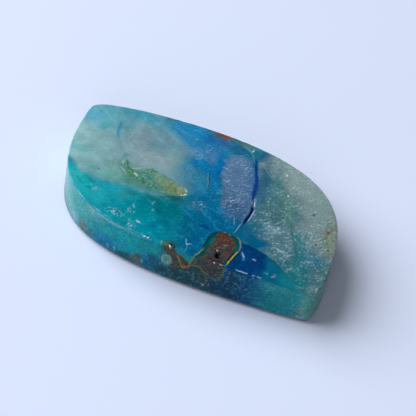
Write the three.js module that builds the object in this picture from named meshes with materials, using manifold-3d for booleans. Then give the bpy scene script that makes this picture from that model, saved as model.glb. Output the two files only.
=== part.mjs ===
// A freeform cabochon: one piece of stone, flat underneath, with near-upright walls and a low polished dome.
// Millimetres, +Z up. The stone rests on its flat back, and the origin is the centre of that back.

import * as THREE from "three";
import { mergeVertices } from "three/addons/utils/BufferGeometryUtils.js";
import Module from "manifold-3d";

// Overall size.
const HALF_LENGTH = 17;
const THICKNESS = 6.4; // from the flat back to the top of the dome

// The back is ground to a small bevel all round, and the walls lean in a little towards the top.
const BACK_BEVEL = 0.5;
const WALL_LEAN = 0.0017; // share of the plan lost for each millimetre of height

// The polished top is a patch of a large ellipsoid. These are its half axes along X, Y and Z.
const DOME_HALF_AXES = new THREE.Vector3(100, 58, 40);

// The two corners of the outline, which face each other across the stone.
const BACK_LEFT_CORNER = new THREE.Vector2(-15.9, 9);
const FRONT_RIGHT_CORNER = new THREE.Vector2(16.4, -9.3);

// How finely the round shapes are faceted.
const POINTS_PER_CURVE = 36;
const DOME_FACETS_ROUND = 320;
const DOME_FACETS_HIGH = 160;

// The outline seen from above. Each long side is one wide curve, which sweeps round one end of the stone
// and stops at a corner, so the plan looks the same after half a turn. It runs from the back left corner.
function outline() {
  const shape = new THREE.Shape();
  shape.moveTo(-14.3, 9.2);
  shape.bezierCurveTo(10.9, 11.8, HALF_LENGTH, 6.6, HALF_LENGTH, -4.5);
  shape.bezierCurveTo(HALF_LENGTH, -5.8, HALF_LENGTH, -7.2, 16.6, -8.5);
  shape.quadraticCurveTo(FRONT_RIGHT_CORNER.x, FRONT_RIGHT_CORNER.y, 15.6, -9.35);
  shape.bezierCurveTo(-9.7, -11.15, -HALF_LENGTH, -8.5, -HALF_LENGTH, 4.1);
  shape.bezierCurveTo(-HALF_LENGTH, 5.4, -HALF_LENGTH, 6.7, -16.6, 7.7);
  shape.quadraticCurveTo(BACK_LEFT_CORNER.x, BACK_LEFT_CORNER.y, -14.3, 9.2);
  return shape;
}

// The outline raised into a block that stands above the dome, with the bevel round its lower edge.
function blockGeometry() {
  const block = new THREE.ExtrudeGeometry(outline(), {
    depth: THICKNESS,
    curveSegments: POINTS_PER_CURVE,
    bevelThickness: BACK_BEVEL,
    bevelSize: BACK_BEVEL,
    bevelOffset: -BACK_BEVEL,
    bevelSegments: 2,
  });
  block.translate(0, 0, BACK_BEVEL);
  const place = block.getAttribute("position");
  for (let i = 0; i < place.count; i += 1) {
    const keep = 1 - WALL_LEAN * place.getZ(i);
    place.setXY(i, place.getX(i) * keep, place.getY(i) * keep);
  }
  return block;
}

// The ellipsoid whose highest point is the top of the dome. The sphere's poles lie along Y, off the stone.
function domeGeometry() {
  const ball = new THREE.SphereGeometry(1, DOME_FACETS_ROUND, DOME_FACETS_HIGH);
  ball.scale(DOME_HALF_AXES.x, DOME_HALF_AXES.y, DOME_HALF_AXES.z);
  ball.translate(0, 0, THICKNESS - DOME_HALF_AXES.z);
  return ball;
}

// A closed geometry as a solid that can be cut.
function toSolid(wasm, geometry) {
  geometry.deleteAttribute("normal");
  geometry.deleteAttribute("uv");
  const merged = mergeVertices(geometry, 1e-4);
  const mesh = new wasm.Mesh({
    numProp: 3,
    vertProperties: new Float32Array(merged.getAttribute("position").array),
    triVerts: new Uint32Array(merged.index.array),
  });
  return new wasm.Manifold(mesh);
}

// A solid's surface as a geometry that can be drawn.
function toGeometry(solid) {
  const surface = solid.getMesh();
  const geometry = new THREE.BufferGeometry();
  geometry.setAttribute("position", new THREE.BufferAttribute(surface.vertProperties, 3));
  geometry.setIndex(new THREE.BufferAttribute(surface.triVerts, 1));
  geometry.computeVertexNormals();
  return geometry;
}

// Blue-green azurite and chrysocolla in pale chalcedony, with a bright polish.
function stoneMaterial() {
  return new THREE.MeshStandardMaterial({ color: 0x3c8fa6, roughness: 0.22, metalness: 0 });
}

// The whole stone: the block under the dome.
function stoneMesh(wasm) {
  const solid = toSolid(wasm, blockGeometry()).intersect(toSolid(wasm, domeGeometry()));
  const mesh = new THREE.Mesh(toGeometry(solid), stoneMaterial());
  mesh.name = "stone";
  return mesh;
}

const wasm = await Module();
wasm.setup();

const cabochon = new THREE.Group();
cabochon.add(stoneMesh(wasm));

export default cabochon;
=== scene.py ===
import math

import bpy
import numpy as np
from mathutils import Matrix, Vector


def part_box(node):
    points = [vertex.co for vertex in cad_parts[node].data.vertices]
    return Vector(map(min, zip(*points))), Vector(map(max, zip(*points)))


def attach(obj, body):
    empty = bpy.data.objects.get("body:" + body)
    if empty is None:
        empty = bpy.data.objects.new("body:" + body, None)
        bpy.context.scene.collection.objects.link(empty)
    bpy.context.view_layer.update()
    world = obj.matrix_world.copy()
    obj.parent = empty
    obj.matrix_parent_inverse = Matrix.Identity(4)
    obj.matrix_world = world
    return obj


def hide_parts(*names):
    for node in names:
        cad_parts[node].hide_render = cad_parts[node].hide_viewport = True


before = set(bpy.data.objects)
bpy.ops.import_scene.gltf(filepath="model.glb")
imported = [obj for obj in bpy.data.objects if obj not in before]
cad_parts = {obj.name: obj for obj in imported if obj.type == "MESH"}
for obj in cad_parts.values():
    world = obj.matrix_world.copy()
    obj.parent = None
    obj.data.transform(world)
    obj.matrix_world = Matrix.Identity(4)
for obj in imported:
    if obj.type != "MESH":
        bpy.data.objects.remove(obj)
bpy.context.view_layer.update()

MM = 0.001

# ---- Dimensions, in millimetres. The stone's own size comes from the frame.
LOW, HIGH = (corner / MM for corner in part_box("stone"))
HALF_LENGTH = (HIGH.x - LOW.x) / 2
THICKNESS = HIGH.z

BACK_BEVEL = 0.5
FRONT_BEVEL = 0.8
CORNER = (15.8, -8.6)
CORNER_RISE = 0.8
WALL_LEAN = 0.0017
DOME_HALF_AXES = (100, 58, 40)

# The outline as curves: each row is one Bezier curve's two handles and its end. It starts where
# the back edge leaves the back left corner, and runs to the right.
OUTLINE_START = (-15.6, 8.6)
OUTLINE_CURVES = [
    ((-14.6, 8.92), (-12.5, 9.3), (-10.5, 9.5)),
    ((11.5, 11.25), (17, 6), (17, -4.5)),
    ((17, -5.8), (17, -7.2), (16.6, -8.5)),
    ((16.45, -9.05), (16.15, -9.3), (15.6, -9.35)),
    ((-9.7, -11.15), (-17, -8.5), (-17, 4.1)),
    ((-17, 5.4), (-17, 6.6), (-16.85, 7.5)),
    ((-16.75, 8), (-16.3, 8.3), (-15.6, 8.6)),
]

# The edge round the top: its radius, which comes and goes along it.
EDGE_RADIUS = 0.11
EDGE_RADIUS_CHANGE = 0.05
EDGE_SEED = 7

# Wear: chips along the front edge as (x, half length, radius), hollows as (x, y, radius) of the ball
# that presses them in, and the crack along the navy seam.
EDGE_CHIPS = [(-3.6, 0.5, 0.25), (-1.6, 0.12, 0.2), (4.9, 0.3, 0.19), (6.5, 0.25, 0.17), (7.4, 0.2, 0.16),
              (8.4, 0.2, 0.15), (9.5, 0.25, 0.18)]
CHIP_STEP = 0.12
CHIP_SCATTER = 0.07
CHIP_SEED = 11
FRONT_EDGE_Y = -4
HOLLOW_LIFT = 0.12
HOLLOWS = [(4.65, -8.7, 0.42), (7.2, -7.4, 0.25), (8.55, -7.6, 0.2), (-1.7, -2.1, 0.25)]
CRACK_X = (6.05, 6.3, 6.35, 6.2, 6.05)
CRACK_Y = (-3.1, -2, -1, 0.2, 1)
CRACK_WIDTH = 0.2
CRACK_DEPTH = 0.14

# How finely the surface is meshed. The rings spread from a thin spine in the middle.
AROUND = 720
CURVE_STEPS = 600
SPINE = (0.5 * HALF_LENGTH, 0.06)
TOP_RINGS = 92
EDGE_RINGS = 4
WALL_RINGS = 26
BEVEL_RINGS = 5
BACK_RINGS = 8

# The share of light that the palest colour here gives back.
ALBEDO = 0.93

# How far down, in millimetres, the colours seen on top go on.
DEEP = 4

# The half size of a colour that fills its whole zone.
WIDE = 30

# The sizes, in millimetres, of the crystal grains and of the clouds, and how finely the clouds break up.
GRAIN = 0.32
CLOUD = 1.2
CLOUD_DETAIL = 5.0

# A drawn line is upright when it rises more than this many times as far as it runs.
STEEP = 1.4


# ---- The stone's surface
def bezier(start, handle_a, handle_b, end, count):
    t = np.linspace(0, 1, count, endpoint=False)[:, None]
    a, b, c, d = (np.array(point, float) for point in (start, handle_a, handle_b, end))
    return (1 - t) ** 3 * a + 3 * (1 - t) ** 2 * t * b + 3 * (1 - t) * t * t * c + t ** 3 * d


def outline():
    """AROUND points evenly spaced along the stone's outline, counterclockwise from its right end."""
    points = []
    start = OUTLINE_START
    for handle_a, handle_b, end in OUTLINE_CURVES:
        points.append(bezier(start, handle_a, handle_b, end, CURVE_STEPS))
        start = end
    path = np.vstack(points)[::-1]
    path = np.roll(path, -int(np.argmax(path[:, 0] - 0.2 * np.abs(path[:, 1] + 2))), axis=0)
    closed = np.vstack([path, path[:1]])
    steps = np.hypot(*np.diff(closed, axis=0).T)
    along = np.concatenate([[0], np.cumsum(steps)])
    wanted = np.linspace(0, along[-1], AROUND, endpoint=False)
    return np.stack([np.interp(wanted, along, closed[:, k]) for k in (0, 1)], axis=1)


def outward(loop):
    """The outward normals of a counterclockwise loop."""
    tangent = np.roll(loop, -1, axis=0) - np.roll(loop, 1, axis=0)
    normal = np.stack([tangent[:, 1], -tangent[:, 0]], axis=1)
    return normal / np.hypot(*normal.T)[:, None]


def dome_height(x, y):
    a, b, c = DOME_HALF_AXES
    return THICKNESS - c + c * np.sqrt(1 - (x / a) ** 2 - (y / b) ** 2)


def stone_points():
    """Rings of AROUND points, from the middle of the top, over the edge, to the middle of the back."""
    rng = np.random.default_rng(EDGE_SEED)
    base = outline()
    normal = outward(base)
    angle = np.linspace(0, 2 * math.pi, AROUND, endpoint=False)
    spine = np.stack([SPINE[0] * np.cos(angle), SPINE[1] * np.sin(angle)], axis=1)
    radius = EDGE_RADIUS + EDGE_RADIUS_CHANGE * smooth_noise(rng, AROUND, 90)
    inset, rise = bevel_sizes(base, normal)

    rings = []
    top_edge_height = dome_height(*base.T)
    lean = (1 - WALL_LEAN * top_edge_height)[:, None]
    edge = base * lean
    inner = edge - normal * radius[:, None]
    for t in np.linspace(0, 1, TOP_RINGS + 1):
        flat = spine * (1 - t) + inner * t
        rings.append(np.column_stack([flat, dome_height(*flat.T)]))
    for k in range(1, EDGE_RINGS + 1):
        turn = math.pi / 2 * k / EDGE_RINGS
        flat = edge - normal * (radius * (1 - math.sin(turn)))[:, None]
        rings.append(np.column_stack([flat, dome_height(*flat.T) - radius * (1 - math.cos(turn))]))
    upper = rings[-1][:, 2]
    for t in np.linspace(0, 1, WALL_RINGS + 1)[1:]:
        height = upper * (1 - t) + rise * t
        rings.append(np.column_stack([base * (1 - WALL_LEAN * height)[:, None], height]))
    for k in range(1, BEVEL_RINGS + 1):
        turn = math.pi / 2 * k / BEVEL_RINGS
        flat = base - normal * (inset * (1 - math.cos(turn)))[:, None]
        rings.append(np.column_stack([flat, rise * (1 - math.sin(turn))]))
    rim = rings[-1][:, :2]
    for t in np.linspace(1, 0, BACK_RINGS + 1)[1:]:
        flat = spine * (1 - t) + rim * t
        rings.append(np.column_stack([flat, np.zeros(AROUND)]))
    points = np.vstack(rings)
    ring = np.arange(len(points)) // AROUND
    # The rounded edge rings, where the material paints highlights.
    rounded_edge = ((ring > TOP_RINGS) & (ring < TOP_RINGS + EDGE_RINGS)).astype(float)
    return points, rounded_edge, wear(points, base)


def bevel_sizes(edge, normal):
    """How far the round base edge goes in and up: more in front, and highest at the near right corner."""
    inset = BACK_BEVEL + (FRONT_BEVEL - BACK_BEVEL) * np.clip(-normal[:, 1], 0, 1)
    from_corner = np.hypot(edge[:, 0] - CORNER[0], edge[:, 1] - CORNER[1])
    return inset, inset + CORNER_RISE * np.exp(-(from_corner / 2) ** 2)


def wear(points, edge):
    """Chips the front edge, opens the crack and the pit, and tells which points the chips pressed in, from
    0 to 1, where the material paints glints and shade.
    """
    rng = np.random.default_rng(CHIP_SEED)
    chipped_points = np.zeros(len(points))
    front = edge[edge[:, 1] < FRONT_EDGE_Y]
    for x, half_length, radius in EDGE_CHIPS:
        for spot in np.arange(-half_length, half_length + 0.01, CHIP_STEP):
            place = front[np.argmin(np.abs(front[:, 0] - x - spot))]
            centre = np.array([*place, dome_height(*place)]) + (0, -0.1, 0.06)
            centre += rng.uniform(-CHIP_SCATTER, CHIP_SCATTER, 3)
            chipped_points = np.maximum(chipped_points, press(points, centre, radius * rng.uniform(0.8, 1.2)))
    for x, y, radius in HOLLOWS:
        press(points, np.array([x, y, dome_height(x, y) + HOLLOW_LIFT]), radius)
    along = np.interp(points[:, 1], CRACK_Y, CRACK_X)
    inside = (points[:, 1] > CRACK_Y[0]) & (points[:, 1] < CRACK_Y[-1]) & (points[:, 2] > 5)
    gap = np.abs(points[:, 0] - along) / CRACK_WIDTH
    points[:, 2] -= np.where(inside & (gap < 1), CRACK_DEPTH * (1 - gap), 0)
    return chipped_points


def press(points, centre, radius):
    """Presses a ball into the surface, and gives 1 for each point that it moves."""
    offset = points - centre
    gap = np.hypot(np.hypot(offset[:, 0], offset[:, 1]), offset[:, 2])
    inside = gap < radius
    points[inside] = centre + offset[inside] / gap[inside, None] * radius
    return inside.astype(float)


def smooth_noise(rng, count, waves):
    """A closed loop of values from -1 to 1 that vary smoothly, about as many times as waves."""
    angle = np.linspace(0, 2 * math.pi, count, endpoint=False)
    total = np.zeros(count)
    for _ in range(24):
        wave = rng.integers(3, waves)
        total += np.sin(wave * angle + rng.uniform(0, 2 * math.pi))
    return total / np.abs(total).max()


def stone_faces(ring_count):
    """Quads between neighbouring rings, and a strip that closes the first and last ring."""
    faces = []
    for ring in range(ring_count - 1):
        for i in range(AROUND):
            j = (i + 1) % AROUND
            upper, lower = ring * AROUND, (ring + 1) * AROUND
            faces.append((upper + i, lower + i, lower + j, upper + j))
    for first, flip in ((0, False), ((ring_count - 1) * AROUND, True)):
        strip = [(0, 1, AROUND - 1)]
        strip += [(i, i + 1, AROUND - i - 1, AROUND - i) for i in range(1, AROUND // 2 - 1)]
        half = AROUND // 2
        strip.append((half - 1, half, half + 1))
        for face in strip:
            numbers = [first + i for i in face]
            faces.append(tuple(reversed(numbers)) if flip else tuple(numbers))
    return faces


def make_stone():
    points, rounded_edge, chipped_points = stone_points()
    mesh = bpy.data.meshes.new("azurite_stone")
    mesh.from_pydata((points * MM).tolist(), [], stone_faces(len(points) // AROUND))
    mesh.validate()
    mesh.shade_smooth()
    for name, values in (("rounded_edge", rounded_edge), ("chipped_points", chipped_points)):
        mesh.attributes.new(name, "FLOAT", "POINT").data.foreach_set("value", values)
    piece = bpy.data.objects.new("azurite_stone", mesh)
    bpy.context.scene.collection.objects.link(piece)
    return piece


# ---- Shader nodes
def colour(code):
    """A colour from its sRGB hex code, as linear light."""
    parts = [int(code[i:i + 2], 16) / 255 for i in (0, 2, 4)]
    linear = [p / 12.92 if p <= 0.04045 else ((p + 0.055) / 1.055) ** 2.4 for p in parts]
    return (*[ALBEDO * p for p in linear], 1)


class Painter:
    """Builds one material. A method adds nodes and returns their output, or lays a colour over the rest."""

    def __init__(self, name):
        self.material = bpy.data.materials.new(name)
        self.material.use_nodes = True
        self.tree = self.material.node_tree
        self.shader = self.tree.nodes["Principled BSDF"]
        self.limit = None
        self.parts = {}
        self.noises = {}

    def link(self, output, socket):
        self.tree.links.new(output, socket)

    def node(self, kind, *values, **settings):
        """Adds a node and links or sets its inputs in order; None leaves an input as it is."""
        node = self.tree.nodes.new("ShaderNode" + kind)
        for name, value in settings.items():
            setattr(node, name, value)
        for socket, value in zip(node.inputs, values):
            if isinstance(value, bpy.types.NodeSocket):
                self.link(value, socket)
            elif value is not None:
                socket.default_value = value
        return node

    def math(self, operation, a, b=0.0):
        return self.node("Math", a, b, operation=operation).outputs[0]

    def product(self, *amounts):
        total = amounts[0]
        for amount in amounts[1:]:
            total = self.math("MULTIPLY", total, amount)
        return total

    def rest(self, amount):
        return self.math("SUBTRACT", 1.0, amount)

    def step(self, value, start, end, low=0.0, high=1.0):
        """Goes smoothly from low to high as the value goes from start to end."""
        return self.node("MapRange", value, start, end, low, high, interpolation_type="SMOOTHSTEP",
                         clamp=False).outputs[0]

    def scaled(self, vector, factor):
        node = self.node("VectorMath", vector, operation="SCALE")
        node.inputs["Scale"].default_value = factor
        return node.outputs[0]

    def split(self, vector):
        """The vector's x, y and z. Each vector is split only once."""
        if vector not in self.parts:
            self.parts[vector] = self.node("SeparateXYZ", vector).outputs
        return self.parts[vector]

    def join(self, x, y, z):
        """A vector from its parts, ready to be split again."""
        vector = self.node("CombineXYZ", x, y, z).outputs[0]
        self.parts[vector] = (x, y, z)
        return vector

    def noise(self, size, detail=2.0, output="Fac", where=None):
        """Noise whose lumps are about this many millimetres across. Each kind is made only once."""
        kind = (size, detail, where)
        if kind not in self.noises:
            self.noises[kind] = self.node("TexNoise", where or self.place, None, 1 / size, detail).outputs
        return self.noises[kind][output]

    def warp(self, where, size, reach):
        """The same place, moved about by noise with lumps of this size."""
        red, green, blue = self.node("SeparateColor", self.noise(size, 3.0, "Color")).outputs
        shift = self.node("CombineXYZ", red, green, blue).outputs[0]
        centred = self.node("VectorMath", shift, (0.5, 0.5, 0.5), operation="SUBTRACT").outputs[0]
        return self.node("VectorMath", where, self.scaled(centred, 2 * reach), operation="ADD").outputs[0]

    def curve(self, value, points):
        """A smooth curve through the points, as a function of the value."""
        node = self.node("FloatCurve", 1.0, value)
        node.mapping.use_clip = False
        line = node.mapping.curves[0]
        while len(line.points) < len(points):
            line.points.new(0, 0)
        for spot, place in zip(line.points, sorted(points)):
            spot.location = place
        node.mapping.update()
        return node.outputs[0]

    def lay(self, code, amount, strength=1.0):
        """Lays a colour over what has been painted so far, within the limit."""
        if strength != 1.0:
            amount = self.math("MULTIPLY", amount, strength)
        if self.limit is not None:
            amount = self.math("MULTIPLY", amount, self.limit)
        node = self.node("Mix", amount, data_type="RGBA")
        self.link(self.colour, node.inputs[6])
        node.inputs[7].default_value = colour(code)
        self.colour = node.outputs[2]

    def within(self, *amounts):
        """Keeps the colours laid next inside all of these; without any, they can lie anywhere."""
        self.limit = self.product(*amounts) if amounts else None

    def clouded(self, value, amount):
        """The value, raised and lowered by this amount of cloudy noise."""
        if not amount:
            return value
        return self.node("Math", self.clouds, amount, value, operation="MULTIPLY_ADD").outputs[0]

    def ball(self, centre, size, turn=0, soft=0.6, where=None, ragged=1.0):
        """1 inside an ellipsoid of these half sizes, 0 outside it, with a cloudy edge.
        Without a third number, it lies at the top and reaches DEEP down."""
        centre = (*centre, 0)[:3]
        size = (*size, DEEP)[:3]
        local = self.node("VectorMath", where or self.broad, centre, operation="SUBTRACT").outputs[0]
        if turn:
            node = self.node("VectorRotate", local, rotation_type="Z_AXIS")
            node.inputs["Angle"].default_value = math.radians(-turn)
            local = node.outputs[0]
        local = self.node("VectorMath", local, size, operation="DIVIDE").outputs[0]
        reach = self.node("VectorMath", local, operation="LENGTH").outputs["Value"]
        return self.step(self.clouded(reach, ragged), 1 + soft, 1 - soft)

    def blob(self, code, centre, size, turn=0, soft=0.7, strength=1.0):
        """A cloud of colour."""
        self.lay(code, self.ball(centre, size, turn, soft), strength)

    def spot(self, code, centre, size, turn=0, soft=0.4, strength=1.0):
        """A small, crisp dot of colour."""
        self.lay(code, self.ball(centre, size, turn, soft, self.fine, 0), strength)

    def patch(self, code, centre, size, turn=0, soft=0.7, strength=1.0, ragged=1.0):
        """A cloud of colour on the front wall, at (x, height)."""
        self.lay(code, self.ball(centre, size, turn, soft, self.wall_place, ragged), strength)

    def line(self, points, width, soft=1.0, fade=0.3, where=None, upright=None):
        """1 along a curve through the points, taken as x(y) where it is upright and as y(x) where not."""
        if upright is None:
            run, rise = (max(values) - min(values) for values in zip(*points))
            upright = rise > STEEP * run
        x, y, _ = self.split(where or self.fine)
        along, across = (y, x) if upright else (x, y)
        ends = sorted((p[1], p[0]) if upright else p for p in points)
        gap = self.math("ABSOLUTE", self.math("SUBTRACT", across, self.curve(along, ends)))
        body = self.step(gap, width * (0.5 + soft / 2), width * (0.5 - soft / 2))
        start = self.step(along, ends[0][0] - fade, ends[0][0] + fade)
        end = self.step(along, ends[-1][0] + fade, ends[-1][0] - fade)
        return self.product(body, start, end)

    def stroke(self, code, points, width, strength=1.0, soft=1.0, fade=0.3):
        """A drawn line of colour."""
        self.lay(code, self.line(points, width, soft, fade), strength)

    def above(self, points, soft, ragged=0.6, where=None):
        """1 where y is above the curve y(x)."""
        x, y, _ = self.split(where or self.fine)
        gap = self.math("SUBTRACT", y, self.curve(x, points))
        return self.step(self.clouded(gap, ragged), -soft, soft)

    def below(self, points, soft, ragged=0.6, where=None):
        return self.rest(self.above(points, soft, ragged, where))

    def right_of(self, points, soft, ragged=0.6):
        """1 where x is right of the curve x(y)."""
        x, y, _ = self.split(self.fine)
        gap = self.math("SUBTRACT", x, self.curve(y, [(p[1], p[0]) for p in points]))
        return self.step(self.clouded(gap, ragged), -soft, soft)

    def left_of(self, points, soft, ragged=0.6):
        return self.rest(self.right_of(points, soft, ragged))

    def grains(self, code, size, low, high, strength=1.0):
        """Colour in scattered lumps of this size; low and high set how many there are."""
        self.lay(code, self.step(self.noise(size, 3.0), low, high), strength)

    def wisps(self, code, size, low, high, strength=1.0):
        """Colour in scattered slanting streaks, this wide."""
        self.lay(code, self.step(self.noise(size, 4.0, where=self.slanted), low, high), strength)

    def grit(self, pale, dark, strength):
        """Crystals under the polish, as small lumps with a painted lit pale side and a painted shaded dark
        side; more in some places.
        """
        strength = self.step(self.clouds, -0.12, 0.12, 0.4 * strength, 1.6 * strength)
        self.lay(dark, self.product(self.step(self.relief, -0.03, -0.2), strength))
        self.lay(pale, self.product(self.step(self.relief, 0.03, 0.2), strength))

    def glints(self, centre, size, strength=1.0, turn=0):
        """Pale lumps and painted glints where fine fractures catch the light, with painted shade in the
        dark cracks between them.
        """
        before = self.limit
        self.limit = self.ball(centre, size, turn, 0.6)
        self.lay("0c4456", self.step(self.relief, -0.05, -0.18), 0.7 * strength)
        self.grains("a0c4d6", 0.5, 0.50, 0.66, 0.55 * strength)
        self.lay("dce8ee", self.step(self.relief, 0.08, 0.24), 0.85 * strength)
        self.limit = before


# ---- The stone's colours. Places are (x, y, depth below the top) in millimetres.
VEIL_EDGE = [(-17, -1.2), (-16, -1.7), (-15, -2.2), (-14, -3), (-12, -3.45), (-8, -3.4), (-4, -3.3),
             (-2, -2.7), (-1, -1.9), (1, 0.5)]
VEIL_SIDE = [(-8.2, 10), (-7.4, 8), (-5.8, 6.5), (-3.8, 5), (-3.6, 3.4), (-3.8, 1.5), (-3.2, 0),
             (-2, -1.5), (-1.8, -4)]
SEAM = [(5.9, 9.8), (5.2, 8.6), (4.8, 7), (5.05, 6), (5.3, 5), (5.6, 4), (5.8, 3), (5.85, 2), (5.95, 1),
        (6.25, 0), (6.45, -1), (6.4, -2), (6.15, -3), (6.2, -4), (6.5, -5), (6.9, -6)]
WEDGE_TOP = [(5.8, -5.8), (6.8, -5.95), (8.2, -6.1), (9.2, -6.35), (10.2, -6.7), (11.2, -7.15),
             (12.2, -7.75), (13.1, -8.35), (13.8, -9), (14.2, -10)]
OVAL_LEFT = [(2.6, 7), (1.5, 6.2), (1.3, 5), (1.5, 3.5), (1.5, 2.2), (1.9, 1.2), (2.4, 0), (2.6, -1.2),
             (3.3, -2.6), (4.4, -3.8)]
OVAL_TOP = [(0.5, 6.2), (1.4, 6.9), (2.5, 6.9), (3.6, 6.3), (4.8, 5.2), (5.6, 4.2), (7, 2)]
BAND_LEFT = [(10.6, 0), (11, -1), (11.5, -2.5), (12.2, -3.8), (12.8, -5.2), (12.95, -6.5), (12.9, -8.5)]


def start_stone():
    """A painter that knows each place on the stone, and the same place moved a little and moved a lot."""
    gem = Painter("chrysocolla")
    solid = gem.scaled(gem.node("TexCoord").outputs["Object"], 1 / MM)
    x, y, z = gem.split(solid)
    a, b, c = DOME_HALF_AXES
    fall_x = gem.math("MULTIPLY", gem.product(x, x), c / (2 * a * a))
    fall_y = gem.math("MULTIPLY", gem.product(y, y), c / (2 * b * b))
    gem.depth = gem.math("SUBTRACT", THICKNESS, gem.math("ADD", gem.math("ADD", fall_x, fall_y), z))
    gem.place = gem.join(x, y, gem.depth)
    slanted = gem.node("VectorRotate", gem.place, rotation_type="Z_AXIS")
    slanted.inputs["Angle"].default_value = math.radians(35)
    gem.slanted = gem.node("VectorMath", slanted.outputs[0], (0.3, 1, 1), operation="MULTIPLY").outputs[0]
    # Painted light and shade on the crystal grains: the grain noise less the same noise moved a little is
    # positive on the sides painted lit and negative on the sides painted shaded.
    beside = gem.node("VectorMath", gem.place, (0.12, -0.12, 0.1), operation="ADD").outputs[0]
    gem.relief = gem.math("SUBTRACT", gem.noise(GRAIN), gem.noise(GRAIN, where=beside))
    gem.clouds = gem.math("SUBTRACT", gem.noise(CLOUD, CLOUD_DETAIL), 0.5)

    fine_x, fine_y, fine_depth = gem.split(gem.warp(gem.place, 0.45, 0.12))
    gem.fine = gem.join(fine_x, fine_y, fine_depth)
    fine_z = gem.math("ADD", z, gem.math("SUBTRACT", fine_depth, gem.depth))
    gem.wall_place = gem.join(fine_x, fine_z, 0)
    gem.broad = gem.warp(gem.fine, 1.8, 0.6)
    gem.wall = gem.step(gem.depth, 0.12, 0.4)
    return gem


def paint_ground(gem):
    """Teal and blue clouds all through the stone."""
    ramp = gem.node("ValToRGB", gem.noise(3, 3))
    stops = ramp.color_ramp.elements
    stops[0].position, stops[0].color = 0.36, colour("0b5f7c")
    stops[1].position, stops[1].color = 0.64, colour("2a8a94")
    middle = stops.new(0.5)
    middle.color = colour("0a7188")
    gem.colour = ramp.outputs[0]


def paint_blue_heart(gem):
    """The blues between the milky left and the grey-green right."""
    gem.blob("00608a", (2.6, -5.4), (5, 4.6), 0, 0.4)
    gem.blob("00627e", (-0.5, -6.4), (1.8, 3.2), 0, 0.6)
    gem.blob("00587e", (0.3, -9), (1.8, 0.9), 0, 0.6, 0.8)
    gem.blob("066690", (0.9, -1.6), (1.8, 2.4), 0, 0.6)
    gem.blob("328ab4", (-4.4, 7.2), (3, 2.8), 0, 0.4)
    gem.blob("2a7aac", (-1.2, 6.2), (2.6, 2.6), 0, 0.6)
    gem.blob("1f86b8", (-3.6, 8.3), (1.8, 0.9), -10)
    gem.blob("136aa4", (-1.8, 8), (1.2, 0.8), -20)
    gem.blob("34588e", (0.2, 8.2), (1.4, 0.8), -10)
    gem.blob("1e668e", (2.2, 7.8), (1.7, 0.8), -25)
    gem.blob("4e86ac", (-2.3, 4.9), (1.2, 0.8), 0, 0.7, 0.8)
    gem.blob("427cac", (-0.6, 4.9), (0.9, 1.2))
    gem.blob("1c78b0", (0.6, 4.8), (0.5, 1.4))
    gem.blob("457f99", (-2.2, 0.6), (2, 1.8), 10, 0.6)
    gem.blob("2a7c9c", (-0.4, 0.6), (0.9, 1.7), 20, 0.6)
    gem.blob("0c70a4", (1.4, 0.6), (0.5, 1), 10, 0.7, 0.8)
    step_edge = [(-3.3, 3.2), (-2.8, 3.8), (-2, 4.1), (-1, 4.05), (-0.6, 3.7), (0, 3.55), (1, 3.6)]
    gem.within(gem.below(step_edge, 0.12, 0.3))
    gem.blob("0472a8", (-1.5, 3.3), (1.7, 0.8), -8, 0.6)
    gem.blob("0472a8", (0.1, 2.6), (0.7, 0.9), -30)
    gem.within()
    gem.blob("0a6ca8", (0.75, 3.3), (0.6, 2.3), 0, 0.6)
    gem.blob("256c89", (-0.2, -3.1), (1.3, 0.7))
    gem.grit("2c94c8", "003c70", 0.26)
    gem.wisps("2c90c4", 0.9, 0.52, 0.7, 0.45)
    gem.wisps("004080", 0.7, 0.46, 0.32, 0.3)
    gem.spot("003c8c", (1.6, -5.6), (0.3, 0.2), 0, 0.8, 0.8)
    gem.spot("003c8c", (2.2, -5.6), (0.25, 0.2), 0, 0.8, 0.8)
    gem.spot("0050a0", (1.1, 2.8), (0.25, 0.5), 10, 0.8, 0.7)


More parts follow.
